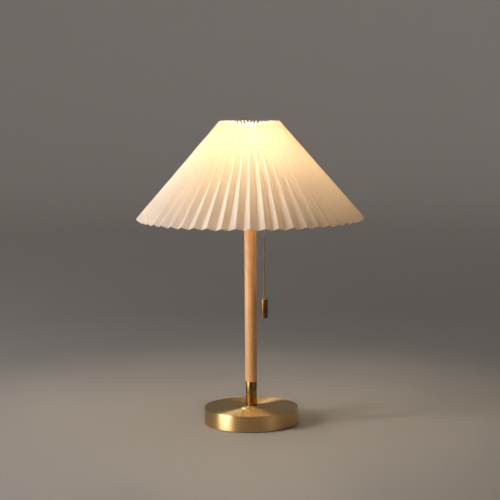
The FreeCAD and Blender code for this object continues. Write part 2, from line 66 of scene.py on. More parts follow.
MM = 0.001
PIPE_HOLE_R = 5.2 * MM      # hole that lets the threaded pipe through
CROWN_R = 39.5 * MM         # radius of the shade's outer folds at the top
HEM_Z = 275 * MM            # height of the outer folds' lower ends
BODY_OF = {node: body for body, nodes in frame["record"]["behaviour"]["bodies"].items() for node in nodes}
SLOT_OF = {entry["node"]: entry["material_slot"] for entry in frame["record"]["subparts"]}


# ---- places that come from the frame ------------------------------------------------------


def low(node):
    """Height of a node's underside."""
    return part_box(node)[0].z


def high(node):
    """Height of a node's top."""
    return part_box(node)[1].z


def radius(node):
    """Radius of a round node, from its width across X."""
    least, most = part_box(node)
    return (most.x - least.x) / 2


def middle(node):
    """Where the axis of an upright round node meets the floor."""
    least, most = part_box(node)
    return Vector(((least.x + most.x) / 2, (least.y + most.y) / 2, 0))


# ---- settings -----------------------------------------------------------------------------


class ShadeSettings(bpy.types.PropertyGroup):
    """Sizes and colours of the pleated shade."""

    pleats: IntProperty(
        name="Pleats", description="Number of outer folds round the shade", default=52, min=12, max=90)
    panel_width: FloatProperty(
        name="Panel Width", description="Width of one flat panel between two folds",
        default=10.3 * MM, unit="LENGTH")
    cloth_thickness: FloatProperty(
        name="Cloth Thickness", description="Thickness of the laminated cloth",
        default=0.4 * MM, unit="LENGTH")
    outer_fold: FloatProperty(
        name="Outer Fold", description="Width of the crease along an outer fold",
        default=0.28 * MM, unit="LENGTH")
    inner_fold: FloatProperty(
        name="Inner Fold", description="Width of the softer crease along an inner fold",
        default=0.7 * MM, unit="LENGTH")
    unevenness: FloatProperty(
        name="Unevenness", description="How far a fold strays from its even place round the shade",
        default=math.radians(0.42), subtype="ANGLE")
    waviness: FloatProperty(
        name="Waviness", description="Depth of the gentle waves in the cloth panels",
        default=0.7 * MM, unit="LENGTH")
    cloth: FloatVectorProperty(
        name="Cloth", description="Colour of the cloth in daylight", subtype="COLOR",
        default=(0.86, 0.83, 0.79), min=0, max=1)
    glow_through: FloatVectorProperty(
        name="Glow Through", description="Colour of the light that comes through the cloth",
        subtype="COLOR", default=(0.95, 0.80, 0.60), min=0, max=1)
    # Painted glow: the hem and crown colours feed an emission on the cloth that stands in for the bulb's
    # light coming through it.
    lit_hem: FloatVectorProperty(
        name="Lit Hem", description="Colour of the cloth's own glow at the bottom edge",
        subtype="COLOR", default=(0.03, 0.012, 0.004), min=0, max=1)
    lit_crown: FloatVectorProperty(
        name="Lit Crown", description="Colour of the cloth's own glow near the top ring",
        subtype="COLOR", default=(0.50, 0.42, 0.30), min=0, max=1)
    thread: FloatVectorProperty(
        name="Thread", description="Colour of the thread that ties the folds to the rings",
        subtype="COLOR", default=(0.70, 0.66, 0.58), min=0, max=1)


class MetalSettings(bpy.types.PropertyGroup):
    """Colours of the metal parts."""

    brass: FloatVectorProperty(
        name="Brass", description="Colour of the satin brass", subtype="COLOR",
        default=(0.76, 0.53, 0.24), min=0, max=1)
    # Painted shade: a much darker copy of the brass, for the sleeve under the stem that sits in shade.
    sleeve_brass: FloatVectorProperty(
        name="Sleeve Brass", description="Colour of the deeper brass of the sleeve under the stem",
        subtype="COLOR", default=(0.27, 0.155, 0.05), min=0, max=1)
    dark_brass: FloatVectorProperty(
        name="Dark Brass", description="Colour of the aged brass of the chain and its weight",
        subtype="COLOR", default=(0.20, 0.11, 0.042), min=0, max=1)


class WoodSettings(bpy.types.PropertyGroup):
    """Colours of the wooden stem."""

    light: FloatVectorProperty(
        name="Light Grain", description="Colour of the early wood", subtype="COLOR",
        default=(0.76, 0.43, 0.18), min=0, max=1)
    dark: FloatVectorProperty(
        name="Dark Grain", description="Colour of the late wood", subtype="COLOR",
        default=(0.52, 0.24, 0.085), min=0, max=1)


class BulbSettings(bpy.types.PropertyGroup):
    """The light that the bulb gives."""

    glow: FloatVectorProperty(
        name="Glow", description="Colour of the bulb's light", subtype="COLOR",
        default=(1.0, 0.84, 0.60), min=0, max=1)
    strength: FloatProperty(
        name="Strength", description="How brightly the bulb glows", default=180.0, min=0)


class StageSettings(bpy.types.PropertyGroup):
    """Floor, soft lights and camera."""

    floor: FloatVectorProperty(
        name="Floor", description="Colour of the plain floor", subtype="COLOR",
        default=(0.36, 0.345, 0.325), min=0, max=1)
    # Painted light: the wall is given a much paler colour than the floor, in place of a lamp on the backdrop.
    wall: FloatVectorProperty(
        name="Wall", description="Colour of the wall that the floor curves up into", subtype="COLOR",
        default=(0.70, 0.68, 0.65), min=0, max=1)
    floor_radius: FloatProperty(
        name="Floor Radius", description="Reach of the flat floor before it curves up",
        default=2.8, unit="LENGTH")
    key_power: FloatProperty(
        name="Key Light", description="Power of the large soft light on the left",
        default=47.0, min=0, unit="POWER")
    fill_power: FloatProperty(
        name="Fill Light", description="Power of the weak soft light on the right",
        default=1.5, min=0, unit="POWER")
    sky: FloatProperty(
        name="Room Light", description="Strength of the even light of the room", default=0.07, min=0)
    camera_distance: FloatProperty(
        name="Camera Distance", description="How far in front of the lamp the camera stands",
        default=1.994, unit="LENGTH")
    camera_height: FloatProperty(
        name="Camera Height", description="Height of the camera above the floor",
        default=0.457, unit="LENGTH")
    camera_tilt: FloatProperty(
        name="Camera Tilt", description="How far the camera looks down",
        default=math.radians(6.44), subtype="ANGLE")
    camera_roll: FloatProperty(
        name="Camera Roll", description="How far the camera leans to one side",
        default=math.radians(0.4), subtype="ANGLE")
    camera_lens: FloatProperty(
        name="Lens", description="Focal length in millimetres on a 36 mm sensor", default=109.4)


# ---- node tree helpers --------------------------------------------------------------------


def add(tree, kind, inputs=None, **settings):
    """Add a shader node. An input's value is a number, a colour or another node's output."""
    made = tree.nodes.new("ShaderNode" + kind)
    for key, value in settings.items():
        setattr(made, key, value)
    for key, value in (inputs or {}).items():
        if isinstance(value, bpy.types.NodeSocket):
            tree.links.new(value, made.inputs[key])
        else:
            made.inputs[key].default_value = value
    return made


def math_node(tree, operation, *values):
    return add(tree, "Math", dict(enumerate(values)), operation=operation).outputs[0]


def spread(tree, value, from_low, from_high, to_low, to_high):
    """Map a value from one range to another, held at the ends."""
    made = add(tree, "MapRange", {0: value, 1: from_low, 2: from_high, 3: to_low, 4: to_high})
    return made.outputs[0]


def mix_colours(tree, share, first, second):
    made = add(tree, "Mix", {0: share, 6: first, 7: second}, data_type="RGBA")
    return made.outputs[2]


def noise(tree, vector, scale, detail=3.0, roughness=0.5):
    inputs = {"Vector": vector, "Scale": scale, "Detail": detail, "Roughness": roughness}
    return add(tree, "TexNoise", inputs).outputs["Fac"]


def stretched(tree, vector, scale):
    """The same place with each axis scaled by its own number."""
    return add(tree, "Mapping", {"Vector": vector, "Scale": scale}).outputs[0]


def four(colour, factor=1.0):
    """A colour with its alpha, made lighter or darker by a factor."""
    return (*(min(1.0, part * factor) for part in colour), 1.0)


def effect_group(name, inputs, outputs, fill):
    """Build a shader node group once. fill(tree, given) wires it up from its inputs."""
    group = bpy.data.node_groups.get(name)
    if group:
        return group
    group = bpy.data.node_groups.new(name, "ShaderNodeTree")
    for label, kind, start in inputs:
        socket = group.interface.new_socket(label, in_out="INPUT", socket_type="NodeSocket" + kind)
        if start is not None:
            socket.default_value = start
    for label, kind in outputs:
        group.interface.new_socket(label, in_out="OUTPUT", socket_type="NodeSocket" + kind)
    entry = group.nodes.new("NodeGroupInput")
    leave = group.nodes.new("NodeGroupOutput")
    made = fill(group, entry.outputs)
    for label, socket in made.items():
        group.links.new(socket, leave.inputs[label])
    return group


def use_group(tree, group, inputs):
    made = tree.nodes.new("ShaderNodeGroup")
    made.node_tree = group
    for key, value in inputs.items():
        if isinstance(value, bpy.types.NodeSocket):
            tree.links.new(value, made.inputs[key])
        else:
            made.inputs[key].default_value = value
    return made.outputs


# ---- shared effects -----------------------------------------------------------------------


def lathe_lines():
    """Fine lines that run round the Z axis, as a lathe and its brush leave them."""

    def fill(tree, given):
        flat = add(tree, "VectorMath", {0: given["Vector"], 1: (1, 1, 0)}, operation="MULTIPLY")
        length = add(tree, "VectorMath", {0: flat.outputs[0]}, operation="LENGTH").outputs["Value"]
        apart = add(tree, "SeparateXYZ", {0: given["Vector"]})
        across = math_node(tree, "MULTIPLY", length, given["Lines per Metre"])
        along = math_node(tree, "MULTIPLY", apart.outputs["Z"], given["Lines per Metre"])
        drift = noise(tree, given["Vector"], 9.0, 2.0)
        place = add(tree, "CombineXYZ", {0: across, 1: along, 2: drift}).outputs[0]
        fine = noise(tree, place, 1.0, 4.0, 0.65)
        broad = noise(tree, place, 0.13, 2.0)
        lines = math_node(tree, "MULTIPLY_ADD", broad, 0.4, math_node(tree, "MULTIPLY", fine, 0.6))
        cloudy = noise(tree, given["Vector"], 28.0, 3.0)
        return {"Lines": lines, "Cloud": cloudy}

    return effect_group(
        "Lathe Lines", [("Vector", "Vector", None), ("Lines per Metre", "Float", 4000.0)],
        [("Lines", "Float"), ("Cloud", "Float")], fill)


def edge_wear():
    """A mask that is light on outer edges, broken up by fine noise."""

    def fill(tree, given):
        sharp = add(tree, "NewGeometry").outputs["Pointiness"]
        rim = spread(tree, sharp, 0.505, 0.56, 0.0, 1.0)
        broken = spread(tree, noise(tree, given["Vector"], 400.0, 4.0), 0.35, 0.65, 0.3, 1.0)
        worn = math_node(tree, "MULTIPLY", rim, broken)
        return {"Worn": math_node(tree, "MULTIPLY", worn, given["Amount"])}

    return effect_group(
        "Edge Wear", [("Vector", "Vector", None), ("Amount", "Float", 0.5)], [("Worn", "Float")], fill)


def fine_grain():
    """Pores, dust and small stains: two sizes of speckle and a slow stain."""

    def fill(tree, given):
        small = noise(tree, given["Vector"], given["Scale"], 5.0, 0.7)
        pores = add(tree, "TexVoronoi", {"Vector": given["Vector"], "Scale": given["Scale"]})
        pits = spread(tree, pores.outputs["Distance"], 0.0, 0.45, 0.0, 1.0)
        slow = math_node(tree, "MULTIPLY", given["Scale"], 0.06)
        stain = noise(tree, given["Vector"], slow, 3.0)
        return {"Grain": small, "Pits": pits, "Stain": stain}

    return effect_group(
        "Fine Grain", [("Vector", "Vector", None), ("Scale", "Float", 900.0)],
        [("Grain", "Float"), ("Pits", "Float"), ("Stain", "Float")], fill)


def plain_weave():
    """Warp and weft threads that pass over and under each other, from a map in metres."""

    def fill(tree, given):
        per_metre = given["Threads per Metre"]
        apart = add(tree, "SeparateXYZ", {0: given["Vector"]})
        across = math_node(tree, "MULTIPLY", apart.outputs["X"], per_metre)
        along = math_node(tree, "MULTIPLY", apart.outputs["Y"], per_metre)
        across_turn = math_node(tree, "MULTIPLY", across, math.pi)
        along_turn = math_node(tree, "MULTIPLY", along, math.pi)
        warp = math_node(tree, "ABSOLUTE", math_node(tree, "SINE", across_turn))
        weft = math_node(tree, "ABSOLUTE", math_node(tree, "SINE", along_turn))
        place = add(tree, "CombineXYZ", {0: across, 1: along}).outputs[0]
        over = add(tree, "TexChecker", {"Vector": place, "Scale": 1.0}).outputs["Fac"]
        swap = math_node(tree, "SUBTRACT", 1.0, over)
        top = math_node(tree, "MULTIPLY", warp, over)
        height = math_node(tree, "MULTIPLY_ADD", weft, swap, top)
        slubs_across = noise(tree, stretched(tree, given["Vector"], (2200, 60, 1)), 1.0, 2.0)
        slubs_along = noise(tree, stretched(tree, given["Vector"], (60, 2200, 1)), 1.0, 2.0)
        slubs = math_node(tree, "MULTIPLY", math_node(tree, "ADD", slubs_across, slubs_along), 0.5)
        return {"Height": height, "Slubs": slubs}

    return effect_group(
        "Plain Weave", [("Vector", "Vector", None), ("Threads per Metre", "Float", 2600.0)],
        [("Height", "Float"), ("Slubs", "Float")], fill)


def straight_grain():
    """Growth rings, ray flecks and pores of straight-grained wood that runs along Z."""

    def fill(tree, given):
        bend = noise(tree, stretched(tree, given["Vector"], (18, 18, 3)), 1.0, 2.0)
        sway = add(tree, "CombineXYZ", {0: math_node(tree, "MULTIPLY", bend, 0.012)}).outputs[0]
        moved = add(tree, "VectorMath", {0: given["Vector"], 1: sway}).outputs[0]
        off_centre = add(tree, "VectorMath", {0: moved, 1: (0.046, 0.021, 0)}).outputs[0]
        level = add(tree, "VectorMath", {0: off_centre, 1: (1, 1, 0)}, operation="MULTIPLY").outputs[0]
        reach = add(tree, "VectorMath", {0: level}, operation="LENGTH").outputs["Value"]
        year = math_node(tree, "FRACT", math_node(tree, "MULTIPLY", reach, given["Rings per Metre"]))
        rings = spread(tree, math_node(tree, "POWER", year, 2.5), 0.0, 1.0, 0.0, 1.0)
        fleck_field = noise(tree, stretched(tree, given["Vector"], (1500, 1500, 190)), 1.0, 2.0, 0.6)
        flecks = spread(tree, fleck_field, 0.60, 0.70, 0.0, 1.0)
        pore_field = noise(tree, stretched(tree, given["Vector"], (3800, 3800, 420)), 1.0, 2.0, 0.7)
        pores = spread(tree, pore_field, 0.36, 0.46, 0.0, 1.0)
        fibre = noise(tree, stretched(tree, given["Vector"], (900, 900, 22)), 1.0, 4.0, 0.65)
        return {"Rings": rings, "Flecks": flecks, "Pores": pores, "Fibre": fibre}

    return effect_group(
        "Straight Grain", [("Vector", "Vector", None), ("Rings per Metre", "Float", 420.0)],
        [("Rings", "Float"), ("Flecks", "Float"), ("Pores", "Float"), ("Fibre", "Float")], fill)


# ---- finishes -----------------------------------------------------------------------------


def start_finish(name):
    """A new material, its node tree, its Principled shader and its object coordinates."""
    material = bpy.data.materials.new(name)
    material.use_nodes = True
    tree = material.node_tree
    place = add(tree, "TexCoord").outputs["Object"]
    return material, tree, tree.nodes["Principled BSDF"], place


def feed(tree, shader, **sockets):
    """Link or set a shader's sockets; Base_Color stands for Base Color."""
    for label, value in sockets.items():
        socket = shader.inputs[label.replace("_", " ")]
        if isinstance(value, bpy.types.NodeSocket):
            tree.links.new(value, socket)
        else:
            socket.default_value = value


def bump(tree, height, depth, strength=1.0):
    inputs = {"Height": height, "Distance": depth, "Strength": strength}
    return add(tree, "Bump", inputs).outputs["Normal"]


def brushed_brass():
    """Satin brass, brushed round on the lathe under a clear lacquer."""
    material, tree, shader, place = start_finish("brushed_brass")
    colour = bpy.context.scene.lamp_metal.brass
    lines = use_group(tree, lathe_lines(), {"Vector": place, "Lines per Metre": 5200.0})
    worn = use_group(tree, edge_wear(), {"Vector": place, "Amount": 0.35})["Worn"]
    tone = mix_colours(tree, lines["Lines"], four(colour, 0.90), four(colour, 1.08))
    tone = mix_colours(tree, spread(tree, lines["Cloud"], 0.35, 0.7, 0.0, 0.25), tone, four(colour, 0.8))
    feed(tree, shader,
         Base_Color=mix_colours(tree, worn, tone, four(colour, 1.25)),
         Roughness=spread(tree, lines["Lines"], 0.3, 0.7, 0.38, 0.48),
         Metallic=1.0, Anisotropic=0.9, Anisotropic_Rotation=0.25,
         Normal=bump(tree, lines["Lines"], 0.012 * MM, 0.5))
    tangent = add(tree, "Tangent", direction_type="RADIAL", axis="Z")
    tree.links.new(tangent.outputs[0], shader.inputs["Tangent"])
    return material


def polished_brass():
    """Smooth lacquered brass, with faint turning lines and a slow tarnish."""
    material, tree, shader, place = start_finish("polished_brass")
    colour = bpy.context.scene.lamp_metal.brass
    lines = use_group(tree, lathe_lines(), {"Vector": place, "Lines per Metre": 2600.0})
    tarnish = spread(tree, lines["Cloud"], 0.3, 0.75, 0.0, 1.0)
    tone = mix_colours(tree, tarnish, four(colour, 1.04), four(colour, 0.8))
    feed(tree, shader,
         Base_Color=tone, Roughness=spread(tree, lines["Cloud"], 0.3, 0.7, 0.13, 0.22), Metallic=1.0,
         Normal=bump(tree, lines["Lines"], 0.006 * MM, 0.4))
    return material


def shadowed_brass():
    """Brass of the sleeve under the stem: a much darker copy of the base's brass that paints in the shade and
    dark reflections it sits in, with the same turning lines.
    """
    material, tree, shader, place = start_finish("shadowed_brass")
    colour = bpy.context.scene.lamp_metal.sleeve_brass
    lines = use_group(tree, lathe_lines(), {"Vector": place, "Lines per Metre": 2200.0})
    tarnish = spread(tree, lines["Cloud"], 0.3, 0.75, 0.0, 1.0)
    tone = mix_colours(tree, tarnish, four(colour, 1.05), four(colour, 0.88))
    feed(tree, shader,
         Base_Color=tone, Roughness=spread(tree, lines["Cloud"], 0.3, 0.7, 0.24, 0.34), Metallic=1.0,
         Normal=bump(tree, lines["Lines"], 0.006 * MM, 0.4))
    return material


def aged_brass():
    """Dark brass of the chain and its weight, with blotches of darker and lighter tarnish, and lighter where
    hands rub it.
    """
    material, tree, shader, place = start_finish("aged_brass")
    colour = bpy.context.scene.lamp_metal.dark_brass
    grain = use_group(tree, fine_grain(), {"Vector": place, "Scale": 1400.0})
    lines = use_group(tree, lathe_lines(), {"Vector": place, "Lines per Metre": 3000.0})
    worn = use_group(tree, edge_wear(), {"Vector": place, "Amount": 0.9})["Worn"]
    stain = spread(tree, grain["Stain"], 0.35, 0.65, 0.0, 1.0)
    tone = mix_colours(tree, stain, four(colour, 0.7), four(colour, 1.25))
    feed(tree, shader,
         Base_Color=mix_colours(tree, worn, tone, four(colour, 2.1)),
         Roughness=spread(tree, grain["Grain"], 0.3, 0.7, 0.26, 0.42), Metallic=1.0,
         Normal=bump(tree, lines["Lines"], 0.010 * MM, 0.5))
    return material


def oiled_beech():
    """Straight-grained wood with small ray flecks, rubbed with oil."""
    material, tree, shader, place = start_finish("oiled_beech")
    wood = bpy.context.scene.lamp_wood
    grain = use_group(tree, straight_grain(), {"Vector": place, "Rings per Metre": 430.0})
    late = spread(tree, grain["Rings"], 0.0, 1.0, 0.0, 0.55)
    tone = mix_colours(tree, late, four(wood.light), four(wood.dark))
    tone = mix_colours(tree, spread(tree, grain["Fibre"], 0.3, 0.7, 0.0, 0.35), tone, four(wood.dark, 1.15))
    tone = mix_colours(tree, spread(tree, grain["Flecks"], 0.0, 1.0, 0.0, 0.45), tone, four(wood.dark, 0.62))
    shallow = math_node(tree, "SUBTRACT", grain["Pores"], math_node(tree, "MULTIPLY", grain["Flecks"], 0.5))
    feed(tree, shader,
         Base_Color=tone, Roughness=spread(tree, grain["Fibre"], 0.25, 0.75, 0.38, 0.54),
         Coat_Weight=spread(tree, grain["Pores"], 0.0, 1.0, 0.05, 0.22), Coat_Roughness=0.3,
         Normal=bump(tree, shallow, 0.03 * MM, 0.5))
    return material


def pleated_cloth():
    """Off-white laminated cloth that lets the bulb's light through, with a painted glow, strongest near the
    crown, that stands in for more of that light, and painted shade along the folds.
    """
    material, tree, shader, place = start_finish("pleated_cloth")
    shade = bpy.context.scene.lamp_shade
    cloth_map = add(tree, "UVMap", uv_map="cloth").outputs[0]
    weave = use_group(tree, plain_weave(), {"Vector": cloth_map, "Threads per Metre": 2300.0})
    across = add(tree, "SeparateXYZ", {0: cloth_map}).outputs["X"]
    panel = math_node(tree, "FRACT", math_node(tree, "DIVIDE", across, shade.panel_width))
    from_middle = math_node(tree, "ABSOLUTE", math_node(tree, "SUBTRACT", panel, 0.5))
    # crease is 1 along every fold, ridges and valleys alike; it marks where shade is painted on the cloth.
    crease = spread(tree, from_middle, 0.43, 0.5, 0.0, 1.0)
    cloud = noise(tree, place, 26.0, 3.0)
    slubs = spread(tree, weave["Slubs"], 0.3, 0.7, 0.0, 1.0)
    tone = mix_colours(tree, slubs, four(shade.cloth, 0.95), four(shade.cloth, 1.04))
    tone = mix_colours(tree, spread(tree, cloud, 0.3, 0.7, 0.0, 0.3), tone, four(shade.cloth, 0.93))
    # Painted shade: the cloth's colour is darker along the folds.
    tone = mix_colours(tree, math_node(tree, "MULTIPLY", crease, 0.25), tone, four(shade.cloth, 0.86))
    threads = math_node(tree, "MULTIPLY", weave["Height"], 0.6)
    relief = math_node(tree, "MULTIPLY_ADD", weave["Slubs"], 1.2, threads)
    normal = bump(tree, relief, 0.05 * MM, 0.45)
    # Painted glow: an emission that rises with height from the hem colour to the crown colour stands in for
    # the bulb's light coming through the cloth; the cloth itself is no lamp.
    full_glow, light_through = 0.78, 0.45
    hem, crown = low("shade_fabric"), high("shade_fabric")
    height = add(tree, "SeparateXYZ", {0: place}).outputs["Z"]
    rise = spread(tree, height, hem, hem + full_glow * (crown - hem), 0.0, 1.0)
    lit = mix_colours(tree, rise, four(shade.lit_hem), four(shade.lit_crown))
    # Painted shade: the painted glow is dimmer along the folds.
    lit = mix_colours(tree, math_node(tree, "MULTIPLY", crease, 0.5), lit, four(shade.lit_hem, 0.6))
    feed(tree, shader,
         Base_Color=tone, Roughness=spread(tree, weave["Slubs"], 0.3, 0.7, 0.78, 0.92),
         Sheen_Weight=0.12, Sheen_Roughness=0.5, Normal=normal,
         Emission_Color=lit, Emission_Strength=1.0)
    shader.inputs["Specular IOR Level"].default_value = 0.25
    glow = mix_colours(tree, slubs, four(shade.glow_through, 0.92), four(shade.glow_through, 1.05))
    # Painted shade: the light through the cloth is darker along the folds.
    glow = mix_colours(tree, math_node(tree, "MULTIPLY", crease, 0.35), glow, four(shade.glow_through, 0.7))
    through = add(tree, "BsdfTranslucent", {"Color": glow, "Normal": normal})
    both = add(tree, "MixShader", {0: light_through, 1: shader.outputs[0], 2: through.outputs[0]})
    tree.links.new(both.outputs[0], tree.nodes["Material Output"].inputs["Surface"])
    return material


def cotton_thread():
    """Twisted off-white thread."""
    material, tree, shader, place = start_finish("cotton_thread")
    colour = bpy.context.scene.lamp_shade.thread
    twist = noise(tree, stretched(tree, place, (3000, 3000, 5000)), 1.0, 2.0)
    feed(tree, shader,
         Base_Color=mix_colours(tree, twist, four(colour, 0.75), four(colour, 1.1)),
         Roughness=spread(tree, twist, 0.3, 0.7, 0.75, 0.95), Sheen_Weight=0.3,
         Normal=bump(tree, twist, 0.05 * MM))
    return material


def opal_glass():
    """Lit opal glass, hottest round the filaments and a little cooler at the neck."""
    material, tree, shader, place = start_finish("opal_glass")
    bulb = bpy.context.scene.lamp_bulb
    neck, crown = low("bulb_glass"), high("bulb_glass")
    height = add(tree, "SeparateXYZ", {0: place}).outputs["Z"]
    lit = spread(tree, height, neck, neck + 0.4 * (crown - neck), 0.35, 1.0)
    cloud = spread(tree, noise(tree, place, 60.0, 2.0), 0.3, 0.7, 0.94, 1.0)
    lit = math_node(tree, "MULTIPLY", lit, cloud)
    glow = mix_colours(tree, lit, four(bulb.glow, 0.2), four(bulb.glow))
    feed(tree, shader,
         Base_Color=mix_colours(tree, cloud, (0.86, 0.83, 0.76, 1), (0.92, 0.90, 0.85, 1)),
         Roughness=spread(tree, cloud, 0.94, 1.0, 0.12, 0.2),
         Emission_Color=glow, Emission_Strength=bulb.strength)
    return material


def powder_coat():
    """White powder coat on the shade's wires, with its orange-peel surface."""
    material, tree, shader, place = start_finish("powder_coat")
    grain = use_group(tree, fine_grain(), {"Vector": place, "Scale": 1300.0})
    feed(tree, shader,
         Base_Color=mix_colours(tree, grain["Stain"], (0.80, 0.78, 0.74, 1), (0.88, 0.87, 0.84, 1)),
         Roughness=spread(tree, grain["Grain"], 0.3, 0.7, 0.32, 0.48),
         Normal=bump(tree, grain["Grain"], 0.03 * MM, 0.5))
    return material


def moulded(name, dark, light, smooth, rough, peel=0.02 * MM):
    """A moulded part: two close tones, an uneven gloss and a fine skin."""
    material, tree, shader, place = start_finish(name)
    grain = use_group(tree, fine_grain(), {"Vector": place, "Scale": 1100.0})
    worn = use_group(tree, edge_wear(), {"Vector": place, "Amount": 0.2})["Worn"]
    tone = mix_colours(tree, grain["Stain"], four(dark), four(light))
    feed(tree, shader,
         Base_Color=mix_colours(tree, worn, tone, four(light, 1.3)),
         Roughness=spread(tree, grain["Grain"], 0.3, 0.7, smooth, rough),
         Normal=bump(tree, grain["Grain"], peel, 0.5))
    return material


def black_thermoset():
    return moulded("black_thermoset", (0.018, 0.018, 0.020), (0.032, 0.032, 0.034), 0.22, 0.38)


def white_nylon():
    return moulded("white_nylon", (0.78, 0.77, 0.73), (0.86, 0.85, 0.82), 0.38, 0.52)


def brown_insulation():
    return moulded("brown_insulation", (0.16, 0.065, 0.028), (0.22, 0.09, 0.04), 0.4, 0.55)


def blue_insulation():
    return moulded("blue_insulation", (0.03, 0.10, 0.34), (0.05, 0.15, 0.45), 0.4, 0.55)


def glazed_porcelain():
    return moulded("glazed_porcelain", (0.80, 0.79, 0.74), (0.88, 0.87, 0.83), 0.08, 0.18, 0.01 * MM)


def black_vitrite():
    return moulded("black_vitrite", (0.012, 0.012, 0.014), (0.025, 0.025, 0.028), 0.06, 0.14, 0.01 * MM)


def pressed_board():
    """Fibrous insulating board."""
    material, tree, shader, place = start_finish("pressed_board")
    fibres = noise(tree, stretched(tree, place, (900, 900, 260)), 1.0, 5.0, 0.7)
    feed(tree, shader,
         Base_Color=mix_colours(tree, fibres, (0.42, 0.34, 0.22, 1), (0.66, 0.57, 0.42, 1)),
         Roughness=spread(tree, fibres, 0.3, 0.7, 0.8, 0.95), Normal=bump(tree, fibres, 0.05 * MM))
    return material


def foam_rubber():
    """Closed-cell black foam with open pores on its cut face."""
    material, tree, shader, place = start_finish("foam_rubber")
    grain = use_group(tree, fine_grain(), {"Vector": place, "Scale": 1500.0})
    feed(tree, shader,
         Base_Color=mix_colours(tree, grain["Pits"], (0.012, 0.012, 0.012, 1), (0.045, 0.044, 0.042, 1)),
         Roughness=spread(tree, grain["Grain"], 0.3, 0.7, 0.82, 0.96),
         Normal=bump(tree, grain["Pits"], 0.15 * MM))
    return material


def rough_iron():
    """Sand-cast iron under thin black paint, rusty where the paint is thin."""
    material, tree, shader, place = start_finish("rough_iron")
    grain = use_group(tree, fine_grain(), {"Vector": place, "Scale": 700.0})
    thin = spread(tree, grain["Stain"], 0.58, 0.7, 0.0, 1.0)
    feed(tree, shader,
         Base_Color=mix_colours(tree, thin, (0.035, 0.034, 0.034, 1), (0.15, 0.062, 0.03, 1)),
         Roughness=spread(tree, grain["Grain"], 0.3, 0.7, 0.55, 0.85),
         Metallic=spread(tree, thin, 0.0, 1.0, 0.5, 0.0),
         Normal=bump(tree, grain["Grain"], 0.2 * MM))
    return material


def zinc_plate():
    """Bright zinc on steel, with its faint crystals."""
    material, tree, shader, place = start_finish("zinc_plate")
    crystals = add(tree, "TexVoronoi", {"Vector": place, "Scale": 420.0}).outputs["Color"]
    spangle = add(tree, "SeparateColor", {0: crystals}).outputs[0]
    grain = use_group(tree, fine_grain(), {"Vector": place, "Scale": 1500.0})
    feed(tree, shader,
         Base_Color=mix_colours(tree, spangle, (0.50, 0.51, 0.51, 1), (0.62, 0.63, 0.62, 1)),
         Roughness=spread(tree, grain["Grain"], 0.3, 0.7, 0.24, 0.4), Metallic=1.0,
         Normal=bump(tree, grain["Grain"], 0.01 * MM, 0.5))
    return material


def lit_phosphor():
    """Yellow phosphor sticks of the bulb, lit."""
    material, tree, shader, place = start_finish("lit_phosphor")
    grain = use_group(tree, fine_grain(), {"Vector": place, "Scale": 900.0})
    warm = mix_colours(tree, grain["Grain"], (0.95, 0.52, 0.12, 1), (1.0, 0.68, 0.24, 1))
    feed(tree, shader,
         Base_Color=warm, Roughness=spread(tree, grain["Grain"], 0.3, 0.7, 0.6, 0.8),
         Emission_Color=warm, Emission_Strength=3.0)
    return material


FINISH_OF_SLOT = {
    "brass": brushed_brass,
    "dark_brass": aged_brass,
    "beech": oiled_beech,
    "pleated_fabric": pleated_cloth,
    "foam_pad": foam_rubber,
    "cast_iron": rough_iron,
    "zinc_steel": zinc_plate,
    "white_wire": powder_coat,
    "black_plastic": black_thermoset,
    "white_plastic": white_nylon,
    "brown_sleeve": brown_insulation,
    "blue_sleeve": blue_insulation,
    "liner_board": pressed_board,
    "porcelain": glazed_porcelain,
    "bulb_glass": opal_glass,
    "filament": lit_phosphor,
    "black_glass": black_vitrite,
}
FINISH_OF_NODE = {
    "ferrule": shadowed_brass,
    "stem_cap": polished_brass,
    "holder_cap": polished_brass,
    "holder_shell": polished_brass,
    "chain_guide": polished_brass,
}


def finish_for(node):
    """The material that a node, or the piece that stands for it, is finished in."""
    make = FINISH_OF_NODE.get(node, FINISH_OF_SLOT[SLOT_OF[node]])
    return bpy.data.materials.get(make.__name__) or make()


# ---- modelling helpers --------------------------------------------------------------------


def nothing_selected():
    if bpy.context.object and bpy.context.object.mode != "OBJECT":
        bpy.ops.object.mode_set(mode="OBJECT")
    bpy.ops.object.select_all(action="DESELECT")


def edit(piece, select="VERT"):
    """Open a piece for editing, with that kind of part selectable."""
    nothing_selected()
    piece.select_set(True)
    bpy.context.view_layer.objects.active = piece
    bpy.ops.object.mode_set(mode="EDIT")
    bpy.ops.mesh.select_mode(type=select)


def pick(piece, kind, wanted):
    """In edit mode, select only the verts, edges or faces that `wanted` accepts."""
    mesh = bmesh.from_edit_mesh(piece.data)
    bpy.ops.mesh.select_all(action="DESELECT")
    count = 0
    for part in getattr(mesh, kind):
        if wanted(part):
            part.select_set(True)
            count += 1
    mesh.select_flush_mode()
    bmesh.update_edit_mesh(piece.data)
    if not count:
        raise RuntimeError(f"{piece.name}: nothing to select among its {kind}")


def new_piece(name):
    """Name the primitive that was just added and put its place into its mesh."""
    piece = bpy.context.object
    piece.name = name
    piece.data.name = name
    bpy.ops.object.transform_apply(location=True, rotation=True, scale=True)
    return piece


def apply_modifier(piece, kind, **settings):
    """Add a modifier and apply it at once."""
    nothing_selected()
    piece.select_set(True)
    bpy.context.view_layer.objects.active = piece
    modifier = piece.modifiers.new(kind.title(), kind)
    for key, value in settings.items():
        setattr(modifier, key, value)
    bpy.ops.object.modifier_apply(modifier=modifier.name)


def close_up(piece):
    """Merge doubles and turn the faces outwards."""
    edit(piece)
    bpy.ops.mesh.select_all(action="SELECT")
    bpy.ops.mesh.remove_doubles(threshold=0.001 * MM)
    bpy.ops.mesh.normals_make_consistent(inside=False)
    nothing_selected()


